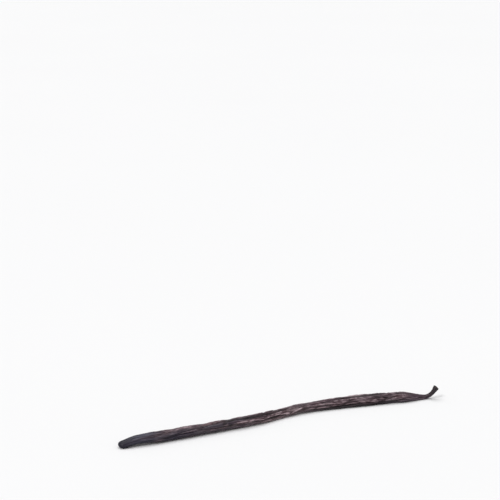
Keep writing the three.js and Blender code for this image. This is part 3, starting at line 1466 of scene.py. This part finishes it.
@dataclass
class PodSkin:
    """The whole skin of the pod, from the tip of the nose to the middle of the stalk scar.

    Attributes:
        line: The pod's line.
        section: Its section.
        relief: Its relief.
        scar: The scar at the stalk end.
        pit: The pit at the blossom end.
        lump_share: How much the section swells over the seeds inside.
        lumps: The noise of that swelling.
        nose_length: Length of the rounded nose.
        columns: How many points lie round a ring.
        body_step: Distance between rings in the body.
        end_step: Distance between rings at the ends.
        step_growth: Length over which the distance grows.
        nose_rings: Rings on the rounded nose.
        scar_rings: Rings on the stalk scar.
        tide: The noise that moves the edge of the painted shade low on the pod.
        tide_reach: How far it moves that edge, as a sine.
        tide_span: Sines of the angle below the sides between which the painted shade sets in.
        torn_rim: Shares of the radius, from the outside in, over which the torn fibres begin.
        least_share: Share of the radius that the patterns keep at the very ends.
        hollow_depth: Depth of a furrow that is wholly dull and in full painted shade.
        crease_depth: Depth of a fine crease that is in full painted shade.
        map_rows: Rows in which the skin lies on its map.
        map_gap: Share of a row that is left free.
    """

    line: PodLine = PodLine()
    section: PodSection = PodSection()
    relief: SkinRelief = field(default_factory=SkinRelief)
    scar: StalkScar = StalkScar()
    pit: BlossomPit = BlossomPit()
    lump_share: float = 0.05
    lumps: SkinNoise = SkinNoise(2, 13.0, 3)
    nose_length: float = 2.7
    columns: int = 188
    body_step: float = 0.42
    end_step: float = 0.2
    step_growth: float = 24.0
    nose_rings: int = 16
    scar_rings: int = 16
    tide: SkinNoise = SkinNoise(4, 19.0, 11)
    tide_reach: float = 0.4
    tide_span: Span = (-0.75, 0.2)
    torn_rim: Span = (0.06, 0.2)
    least_share: float = 0.05
    hollow_depth: float = 0.95
    crease_depth: float = 0.42
    map_rows: int = 3
    map_gap: float = 0.03

    @property
    def radius(self) -> float:
        """Give the radius of the straight pod that the patterns lie on."""
        return self.section.thickness.body / 2.0

    def rings(self) -> tuple[Array, Array]:
        """Lay the rings of the mesh along the pod.

        Returns:
            Each ring's place along the pod and its share of the full radius.
        """
        turns = np.arange(1, self.nose_rings) / self.nose_rings * (math.pi / 2.0)
        places = list(self.nose_length * (1.0 - np.cos(turns)))
        shares = list(np.sin(turns))
        s = self.nose_length
        while s < POD_LENGTH - self.scar.depths[0] - self.end_step / 2.0:
            places.append(s)
            shares.append(1.0)
            grown = smooth(min(s, POD_LENGTH - s), 0.0, self.step_growth)
            s += float(mix(self.end_step, self.body_step, grown))
        scar_shares = np.linspace(1.0, 0.0, self.scar_rings, endpoint=False)
        places.extend(POD_LENGTH - self.scar.profile(scar_shares))
        shares.extend(scar_shares)
        return np.array(places), np.array(shares)

    def points(self) -> SkinPoints:
        """Lay out all points of the mesh: the rings, then the tip of the nose and the scar's middle.

        Returns:
            The points.
        """
        places, shares = self.rings()
        angles = np.arange(self.columns) * (2.0 * math.pi / self.columns)
        s, angle = np.meshgrid(places, angles, indexing="ij")
        ends = [0.0, POD_LENGTH - self.scar.depths[-1]]
        share = np.repeat(shares, self.columns)
        return SkinPoints(np.append(s, ends), np.append(share, [0.0, 0.0]), np.append(angle, [0.0, 0.0]))

    def cured(self, points: SkinPoints, depth: Array) -> Array:
        """Place points of the straight, round pod on the cured one.

        Args:
            points: The points.
            depth: How far the skin has shrunk below the smooth section at each of them.

        Returns:
            Points in millimetres, with the nose at the zero point.
        """
        s, angle = points.s, points.angle
        a, b = self.section.half(s, self.section.width), self.section.half(s, self.section.thickness)
        lump = 1.0 + self.lump_share * self.lumps.at(s, angle)
        depth = depth * np.minimum(1.0, 2.0 * b / self.section.thickness.body)
        inward = np.stack([-b * np.cos(angle), -a * np.sin(angle)], axis=-1)
        inward /= np.linalg.norm(inward, axis=-1, keepdims=True)
        flat = np.stack([a * np.cos(angle), b * np.sin(angle)], axis=-1) * lump[..., None]
        flat = (flat + inward * depth[..., None]) * points.share[..., None]
        roll = self.section.roll_at(s)
        side = flat[..., 0] * np.cos(roll) - flat[..., 1] * np.sin(roll)
        rise = flat[..., 0] * np.sin(roll) + flat[..., 1] * np.cos(roll)
        across = self.line.across(s)
        up = np.cross(self.line.direction(s), across)
        places = self.line.centre(s) + across * side[..., None] + up * rise[..., None]
        places[..., 2] = np.maximum(0.0, places[..., 2] + self.section.height(s))
        return places

    def shape(self, points: SkinPoints) -> Array:
        """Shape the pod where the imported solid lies.

        Args:
            points: The points of the straight pod.

        Returns:
            The points of the cured pod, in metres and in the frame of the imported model.
        """
        plain = self.cured(points, self.relief.coarse(points.s, points.angle))
        nose = points.s < self.nose_length
        pit = np.where(nose, self.pit.depth_at(points.share, points.angle), 0.0)
        torn = np.where(nose, 0.0, self.scar.ragged(points.share, points.angle))
        detailed = self.cured(points, self.relief.detailed(points.s, points.angle))
        detailed += self.line.direction(points.s) * (pit - torn)[..., None]
        low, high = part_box(NODE)
        shift = (np.array(low) + np.array(high)) / 2.0 / MILLIMETRE
        shift -= (plain.min(axis=0) + plain.max(axis=0)) / 2.0
        shift[2] = 0.0
        return (detailed + shift) * MILLIMETRE

    def faces(self, rows: int) -> list[tuple[int, ...]]:
        """List the mesh's faces, with the two end points after all rings.

        Args:
            rows: How many rings there are.

        Returns:
            The corners of each face.
        """
        count = self.columns
        nose, tail = rows * count, rows * count + 1
        last = (rows - 1) * count
        found: list[tuple[int, ...]] = []
        for column in range(count):
            beside = (column + 1) % count
            found.append((nose, beside, column))
            found.append((tail, last + column, last + beside))
            for start in range(0, last, count):
                after = start + count
                found.append((start + column, start + beside, after + beside, after + column))
        return found

    def map_across(self, corners: FaceCorners, tip: Array) -> Array:
        """Say how far round the pod each corner lies, from the slit below.

        Args:
            corners: The mesh's corners.
            tip: Which of them lie on the pod's two end points.

        Returns:
            The share of a turn, which at an end point is halfway between its two neighbours'.
        """
        count = self.columns
        column = (np.where(tip, 0, corners.point % count) + count // 4) % count
        highest = corners.highest(np.where(tip, 0, column))
        wraps = (highest == count - 1) & (column == 0) & ~tip
        across = np.where(wraps, count, column) / count
        return np.where(tip, corners.total(np.where(tip, 0.0, across)) / 2.0, across)

    def lay_map(self, mesh: bpy.types.Mesh, places: Array, shares: Array) -> None:
        """Give the mesh its map: the skin is slit below and laid out flat in a few rows.

        Args:
            mesh: The skin's mesh.
            places: Each ring's place along the pod.
            shares: Each ring's share of the full radius.
        """
        strides = np.hypot(np.diff(places, prepend=0.0), self.radius * np.diff(shares, prepend=0.0))
        walked = np.cumsum(strides)
        whole = walked[-1] + self.radius * shares[-1]
        walked = np.append(walked, [0.0, whole]) / whole
        corners = FaceCorners.of(mesh)
        nose = len(places) * self.columns
        tip = corners.point >= nose
        ring = np.where(tip, len(places) + corners.point - nose, corners.point // self.columns)
        along = walked[ring]
        row = np.floor(corners.total(along) / corners.size * self.map_rows)
        row = np.clip(row, 0, self.map_rows - 1)
        inner = 1.0 - 2.0 * self.map_gap
        u = self.map_gap + inner * (along * self.map_rows - row)
        v = (row + self.map_gap + inner * self.map_across(corners, tip)) / self.map_rows
        layer = mesh.uv_layers.new(name="OFBake")
        layer.data.foreach_set("uv", np.stack([u, v], axis=-1).astype(np.float32).ravel())

    def build(self) -> bpy.types.Object:
        """Make the skin's mesh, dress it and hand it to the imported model's body.

        Returns:
            The skin's object.
        """
        places, shares = self.rings()
        points = self.points()
        mesh = bpy.data.meshes.new("pod_skin")
        mesh.from_pydata(self.shape(points).tolist(), [], self.faces(len(places)))
        mesh.shade_smooth()
        self.lay_map(mesh, places, shares)
        self.tell(mesh, points)
        mesh.materials.append(OiledSkin(self.radius).make())
        piece = placed("pod_skin", mesh)
        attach(piece, BODY)
        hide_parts(NODE)
        return piece

    def tell(self, mesh: bpy.types.Mesh, points: SkinPoints) -> None:
        """Write what the finish needs to know about each point.

        Args:
            mesh: The skin's mesh.
            points: The points of the straight pod.
        """
        s, share, angle = points.s, points.share, points.angle
        turned = self.relief.untwisted(s, angle)
        radius = self.radius * np.maximum(share, self.least_share)
        place = np.stack([s, radius * np.cos(turned), radius * np.sin(turned)], axis=-1)
        written = mesh.attributes.new(SkinData.PLACE.value, "FLOAT_VECTOR", "POINT")
        written.data.foreach_set("vector", place.astype(np.float32).ravel())
        # How far each point lies in the painted shade low on the pod; the tide noise moves its edge.
        downward = self.tide.at(s, angle) * self.tide_reach - np.sin(angle)
        for name, amount in (
            (SkinData.HOLLOW, self.relief.coarse(s, angle) / self.hollow_depth),
            (SkinData.CREASE, self.relief.fine(s, angle) / self.crease_depth),
            (SkinData.LOW_SHADE, smooth(downward, *self.tide_span)),
            (SkinData.TORN, np.where(s < self.nose_length, 0.0, smooth(1.0 - share, *self.torn_rim))),
        ):
            written = mesh.attributes.new(name.value, "FLOAT", "POINT")
            written.data.foreach_set("value", np.clip(amount, 0.0, 1.0).astype(np.float32))


# ------------------------------------------------------------------------------------- the studio


@dataclass(frozen=True)
class FarLamp:
    """A broad lamp so far away that its light falls evenly on the whole table.

    Attributes:
        name: Its name.
        azimuth: Direction it hangs in, round from -Y towards +X.
        elevation: Its height above the table, as an angle.
        spread: How broad it looks from the pod, as an angle.
        strength: Its light on a surface that faces it, in watts per square metre.
        tint: The colour of its light.
    """

    name: str
    azimuth: float
    elevation: float
    spread: float
    strength: float
    tint: Colour = (1.0, 1.0, 1.0)

    def hang(self) -> None:
        """Hang the lamp."""
        lamp = bpy.data.lights.new(self.name, "SUN")
        lamp.angle, lamp.energy, lamp.color = self.spread, self.strength, self.tint
        held = placed(self.name, lamp)
        held.location = direction_of(self.azimuth, self.elevation)
        aim(held, -held.location)


@dataclass(frozen=True)
class Viewpoint:
    """The camera: where it stands and where the pod lies in its square picture.

    Attributes:
        azimuth: Direction it stands in, round from -Y towards +X.
        elevation: Its height above the pod, as an angle.
        distance: Its distance from the pod's middle, in metres.
        picture: Side of the picture in pixels.
        pixels_per_metre: Scale of the picture at the pod's middle.
        pod_x: Pixels from the picture's left side to the pod's middle.
        pod_y: Pixels from its top to the pod's middle.
        sensor: Width of the camera's sensor in millimetres.
        reach: The nearest and farthest that it sees, in metres.
    """

    azimuth: float = radians(-24.96)
    elevation: float = radians(20.0)
    distance: float = 0.75
    picture: float = 500.0
    pixels_per_metre: float = 1985.0
    pod_x: float = 282.7
    pod_y: float = 411.9
    sensor: float = 36.0
    reach: Span = (0.01, 100.0)

    def stand(self) -> None:
        """Set the camera up and make it the scene's own."""
        low, high = CAD_BOX
        middle = (low + high) / 2.0
        back = direction_of(self.azimuth, self.elevation)
        right = Vector((math.cos(self.azimuth), math.sin(self.azimuth), 0.0))
        up = back.cross(right)
        half = self.picture / 2.0
        target = middle - right * ((self.pod_x - half) / self.pixels_per_metre)
        target += up * ((self.pod_y - half) / self.pixels_per_metre)
        lens = bpy.data.cameras.new("camera")
        lens.sensor_width = self.sensor
        lens.lens = self.sensor * self.pixels_per_metre * self.distance / self.picture
        lens.clip_start, lens.clip_end = self.reach
        camera = placed("camera", lens)
        camera.location = middle + back * self.distance
        aim(camera, target - camera.location)
        bpy.context.scene.camera = camera


@dataclass
class Studio:
    """The table, the light and the camera.

    Attributes:
        table_size: Side of the table top in metres.
        sky: Brightness of the even light from all round.
        lamps: The lamps.
        viewpoint: The camera's place.
    """

    table_size: float = 24.0
    sky: float = 0.46
    lamps: tuple[FarLamp, ...] = (
        FarLamp("overhead_lamp", radians(170.0), radians(74.0), radians(60.0), 1.4),
        FarLamp("window_lamp", radians(-62.0), radians(46.0), radians(16.0), 1.1),
    )
    viewpoint: Viewpoint = Viewpoint()

    def lay_table(self) -> bpy.types.Object:
        """Lay the table top under the pod.

        Returns:
            The table top.
        """
        half = self.table_size / 2.0
        corners = [(-half, -half, 0.0), (half, -half, 0.0), (half, half, 0.0), (-half, half, 0.0)]
        mesh = bpy.data.meshes.new("table_top")
        mesh.from_pydata(corners, [], [(0, 1, 2, 3)])
        mesh.materials.append(PaleTable().make())
        top = placed("table_top", mesh)
        return top

    def light_sky(self) -> None:
        """Light the room evenly from all round."""
        world = bpy.data.worlds.new("sky")
        world.use_nodes = True
        bench = NodeBench(world.node_tree)
        glow = bench.node("ShaderNodeBackground", None, {"Color": (1.0, 1.0, 1.0), "Strength": self.sky})
        bench.node("ShaderNodeOutputWorld", None, {"Surface": glow.outputs[0]})
        bpy.context.scene.world = world

    def set_up(self) -> bpy.types.Object:
        """Set up everything round the pod.

        Returns:
            The table top.
        """
        top = self.lay_table()
        self.light_sky()
        for lamp in self.lamps:
            lamp.hang()
        self.viewpoint.stand()
        bpy.context.scene.view_settings.view_transform = "Standard"
        return top


# ------------------------------------------------------------------------------------------- main


def main() -> None:
    """Build the studio and the pod, and report each piece."""
    logging.basicConfig(level=logging.INFO, format="%(name)s: %(message)s")
    top = Studio().set_up()
    log.info("%s: %.1f m across", top.name, top.dimensions.x)
    skin = PodSkin().build()
    log.info("%s: %d faces", skin.name, len(skin.data.polygons))


if __name__ == "__main__":
    main()
